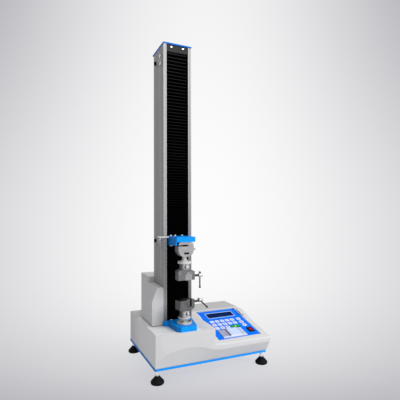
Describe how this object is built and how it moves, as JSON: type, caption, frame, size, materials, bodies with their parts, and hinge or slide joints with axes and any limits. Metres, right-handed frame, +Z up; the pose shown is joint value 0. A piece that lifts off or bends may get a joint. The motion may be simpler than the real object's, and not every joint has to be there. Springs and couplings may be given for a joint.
{
  "type": "universal testing machine",
  "caption": "Bench testing machine with one upright column, a screw-driven crosshead with load cell, two clamp grips and a sloping console with keypad and printer.",
  "frame": {"origin": "on the bench, under the middle of the machine's overall box", "axes": "+Z up, -Y towards the operator, +X to the operator's right"},
  "size_m": [0.522, 0.433, 1.367],
  "materials": {
    "blue_paint": "satin powder coat",
    "housing_paint": "light grey moulded housing, satin",
    "cover_paint": "light grey powder coat",
    "column_metal": "grey anodised extrusion",
    "dark_plate": "dark satin paint",
    "bellows_cloth": "black coated cloth, pleated",
    "bright_steel": "ground steel",
    "cast_iron": "machined block",
    "belt_rubber": "matt black",
    "motor_black": "black motor housing",
    "cell_metal": "blasted nickel plate",
    "grip_steel": "dark bead-blasted steel",
    "silver": "bright plated",
    "panel_blue": "satin film over plate",
    "lcd": "dark blue display",
    "printer_plastic": "pale lilac grey",
    "black_plastic": "matt black",
    "red_plastic": "gloss red",
    "white_key": "white",
    "green_key": "green",
    "foot_rubber": "black"
  },
  "bodies": {
    "machine": {"base_plate": "blue_paint", "base_housing": "housing_paint", "column_profile": "column_metal", "column_top_plate": "blue_paint", "bellows_end_plate": "dark_plate", "upper_bellows": "bellows_cloth", "lower_bellows": "bellows_cloth", "guide_rods": "bright_steel", "bearing_blocks": "cast_iron", "timing_belt": "belt_rubber", "drive_motor": "motor_black", "motor_cover": "cover_paint", "lower_seat": "blue_paint", "lower_adapter": "bright_steel", "lower_grip_body": "grip_steel", "control_panel": "panel_blue", "lcd_display": "lcd", "printer_frame": "printer_plastic", "switch_bezel": "black_plastic", "mains_inlet": "black_plastic"},
    "crosshead": {"carriage": "cast_iron", "crosshead_arm": "blue_paint", "load_cell": "cell_metal", "trip_arm": "silver", "upper_adapter": "bright_steel", "upper_grip_body": "grip_steel"},
    "screw": {"ball_screw": "bright_steel", "screw_pulley": "cell_metal"},
    "motor_rotor": {"motor_pulley": "cell_metal"},
    "upper_moving_jaw": {"upper_jaw": "grip_steel"},
    "upper_screw": {"upper_clamp_screw": "bright_steel"},
    "upper_bar": {"upper_tommy_bar": "grip_steel"},
    "lower_moving_jaw": {"lower_jaw": "grip_steel"},
    "lower_screw": {"lower_clamp_screw": "bright_steel"},
    "lower_bar": {"lower_tommy_bar": "grip_steel"},
    "upper_switch": {"upper_limit_switch": "black_plastic"},
    "lower_switch": {"lower_limit_switch": "black_plastic"},
    "rocker": {"power_rocker": "red_plastic"},
    "door": {"printer_door": "printer_plastic"},
    "front_left_foot_body": {"front_left_foot": "foot_rubber"},
    "front_right_foot_body": {"front_right_foot": "foot_rubber"},
    "rear_left_foot_body": {"rear_left_foot": "foot_rubber"},
    "rear_right_foot_body": {"rear_right_foot": "foot_rubber"},
    "keypad_key_01_body": {"keypad_key_01": "white_key"},
    "keypad_key_02_body": {"keypad_key_02": "white_key"},
    "keypad_key_03_body": {"keypad_key_03": "white_key"},
    "keypad_key_04_body": {"keypad_key_04": "white_key"},
    "keypad_key_05_body": {"keypad_key_05": "white_key"},
    "keypad_key_06_body": {"keypad_key_06": "white_key"},
    "keypad_key_07_body": {"keypad_key_07": "white_key"},
    "keypad_key_08_body": {"keypad_key_08": "white_key"},
    "keypad_key_09_body": {"keypad_key_09": "white_key"},
    "keypad_key_10_body": {"keypad_key_10": "white_key"},
    "keypad_key_11_body": {"keypad_key_11": "white_key"},
    "keypad_key_12_body": {"keypad_key_12": "white_key"},
    "keypad_key_13_body": {"keypad_key_13": "white_key"},
    "start_key_body": {"start_key": "green_key"},
    "up_key_body": {"up_key": "white_key"},
    "stop_key_body": {"stop_key": "white_key"},
    "down_key_body": {"down_key": "white_key"}
  },
  "joints": [
    {"name": "crosshead_travel", "type": "slide", "parent": "machine", "child": "crosshead", "axis": [0, 0, 1], "range_m": [-0.05, 0.6], "deforming": ["upper_bellows", "lower_bellows"]},
    {"name": "screw_spin", "type": "hinge", "parent": "machine", "child": "screw", "pos_m": [-0.117, -0.005, 0.2], "axis": [0, 0, -1], "range_deg": [-3601, 43201]},
    {"name": "motor_spin", "type": "hinge", "parent": "machine", "child": "motor_rotor", "pos_m": [-0.117, 0.12, 0.2], "axis": [0, 0, -1], "range_deg": [-7202, 86402]},
    {"name": "upper_clamp_spin", "type": "hinge", "parent": "upper_moving_jaw", "child": "upper_screw", "pos_m": [-0.116, -0.155, 0.398], "axis": [1, 0, 0], "range_deg": [-324, 990]},
    {"name": "upper_jaw_slide", "type": "slide", "parent": "crosshead", "child": "upper_moving_jaw", "axis": [1, 0, 0], "range_m": [-0.00181, 0.00551]},
    {"name": "upper_bar_slide", "type": "slide", "parent": "upper_screw", "child": "upper_bar", "axis": [0, 0, 1], "range_m": [0, 0.037]},
    {"name": "lower_clamp_spin", "type": "hinge", "parent": "lower_moving_jaw", "child": "lower_screw", "pos_m": [-0.116, -0.155, 0.29], "axis": [0.9703, 0.2419, 0], "range_deg": [-324, 990]},
    {"name": "lower_jaw_slide", "type": "slide", "parent": "machine", "child": "lower_moving_jaw", "axis": [0.9703, 0.2419, 0], "range_m": [-0.00181, 0.00551]},
    {"name": "lower_bar_slide", "type": "slide", "parent": "lower_screw", "child": "lower_bar", "axis": [-0.2243, 0.8996, 0.3746], "range_m": [0, 0.037]},
    {"name": "upper_limit_slide", "type": "slide", "parent": "machine", "child": "upper_switch", "axis": [0, 0, 1], "range_m": [-0.5, 0.02]},
    {"name": "lower_limit_slide", "type": "slide", "parent": "machine", "child": "lower_switch", "axis": [0, 0, 1], "range_m": [-0.13, 0.2]},
    {"name": "power_rocker_tilt", "type": "hinge", "parent": "machine", "child": "rocker", "pos_m": [0.203, -0.13821, 0.13814], "axis": [1, 0, 0], "range_deg": [0, 15]},
    {"name": "printer_door_hinge", "type": "hinge", "parent": "machine", "child": "door", "pos_m": [0.124, -0.11747, 0.14924], "axis": [-1, 0, 0], "range_deg": [0, 80]},
    {"name": "front_left_foot_height", "type": "slide", "parent": "machine", "child": "front_left_foot_body", "axis": [0, 0, 1], "range_m": [-0.01, 0.006]},
    {"name": "front_right_foot_height", "type": "slide", "parent": "machine", "child": "front_right_foot_body", "axis": [0, 0, 1], "range_m": [-0.01, 0.006]},
    {"name": "rear_left_foot_height", "type": "slide", "parent": "machine", "child": "rear_left_foot_body", "axis": [0, 0, 1], "range_m": [-0.01, 0.006]},
    {"name": "rear_right_foot_height", "type": "slide", "parent": "machine", "child": "rear_right_foot_body", "axis": [0, 0, 1], "range_m": [-0.01, 0.006]},
    {"name": "keypad_key_01_press", "type": "slide", "parent": "machine", "child": "keypad_key_01_body", "axis": [0, 0.2228, -0.9749], "range_m": [0, 0.0008], "stiffness_N_per_m": 400, "springref_m": -0.0008},
    {"name": "keypad_key_02_press", "type": "slide", "parent": "machine", "child": "keypad_key_02_body", "axis": [0, 0.2228, -0.9749], "range_m": [0, 0.0008], "stiffness_N_per_m": 400, "springref_m": -0.0008},
    {"name": "keypad_key_03_press", "type": "slide", "parent": "machine", "child": "keypad_key_03_body", "axis": [0, 0.2228, -0.9749], "range_m": [0, 0.0008], "stiffness_N_per_m": 400, "springref_m": -0.0008},
    {"name": "keypad_key_04_press", "type": "slide", "parent": "machine", "child": "keypad_key_04_body", "axis": [0, 0.2228, -0.9749], "range_m": [0, 0.0008], "stiffness_N_per_m": 400, "springref_m": -0.0008},
    {"name": "keypad_key_05_press", "type": "slide", "parent": "machine", "child": "keypad_key_05_body", "axis": [0, 0.2228, -0.9749], "range_m": [0, 0.0008], "stiffness_N_per_m": 400, "springref_m": -0.0008},
    {"name": "keypad_key_06_press", "type": "slide", "parent": "machine", "child": "keypad_key_06_body", "axis": [0, 0.2228, -0.9749], "range_m": [0, 0.0008], "stiffness_N_per_m": 400, "springref_m": -0.0008},
    {"name": "keypad_key_07_press", "type": "slide", "parent": "machine", "child": "keypad_key_07_body", "axis": [0, 0.2228, -0.9749], "range_m": [0, 0.0008], "stiffness_N_per_m": 400, "springref_m": -0.0008},
    {"name": "keypad_key_08_press", "type": "slide", "parent": "machine", "child": "keypad_key_08_body", "axis": [0, 0.2228, -0.9749], "range_m": [0, 0.0008], "stiffness_N_per_m": 400, "springref_m": -0.0008},
    {"name": "keypad_key_09_press", "type": "slide", "parent": "machine", "child": "keypad_key_09_body", "axis": [0, 0.2228, -0.9749], "range_m": [0, 0.0008], "stiffness_N_per_m": 400, "springref_m": -0.0008},
    {"name": "keypad_key_10_press", "type": "slide", "parent": "machine", "child": "keypad_key_10_body", "axis": [0, 0.2228, -0.9749], "range_m": [0, 0.0008], "stiffness_N_per_m": 400, "springref_m": -0.0008},
    {"name": "keypad_key_11_press", "type": "slide", "parent": "machine", "child": "keypad_key_11_body", "axis": [0, 0.2228, -0.9749], "range_m": [0, 0.0008], "stiffness_N_per_m": 400, "springref_m": -0.0008},
    {"name": "keypad_key_12_press", "type": "slide", "parent": "machine", "child": "keypad_key_12_body", "axis": [0, 0.2228, -0.9749], "range_m": [0, 0.0008], "stiffness_N_per_m": 400, "springref_m": -0.0008},
    {"name": "keypad_key_13_press", "type": "slide", "parent": "machine", "child": "keypad_key_13_body", "axis": [0, 0.2228, -0.9749], "range_m": [0, 0.0008], "stiffness_N_per_m": 400, "springref_m": -0.0008},
    {"name": "start_key_press", "type": "slide", "parent": "machine", "child": "start_key_body", "axis": [0, 0.2228, -0.9749], "range_m": [0, 0.0008], "stiffness_N_per_m": 400, "springref_m": -0.0008},
    {"name": "up_key_press", "type": "slide", "parent": "machine", "child": "up_key_body", "axis": [0, 0.2228, -0.9749], "range_m": [0, 0.0008], "stiffness_N_per_m": 400, "springref_m": -0.0008},
    {"name": "stop_key_press", "type": "slide", "parent": "machine", "child": "stop_key_body", "axis": [0, 0.2228, -0.9749], "range_m": [0, 0.0008], "stiffness_N_per_m": 400, "springref_m": -0.0008},
    {"name": "down_key_press", "type": "slide", "parent": "machine", "child": "down_key_body", "axis": [0, 0.2228, -0.9749], "range_m": [0, 0.0008], "stiffness_N_per_m": 400, "springref_m": -0.0008}
  ],
  "couplings": [
    {"joint": "screw_spin", "follows": "crosshead_travel", "rad_per_m": 1256.6},
    {"joint": "motor_spin", "follows": "crosshead_travel", "rad_per_m": 2513.3},
    {"joint": "upper_jaw_slide", "follows": "upper_clamp_spin", "m_per_rad": 0.00031831},
    {"joint": "lower_jaw_slide", "follows": "lower_clamp_spin", "m_per_rad": 0.00031831}
  ]
}
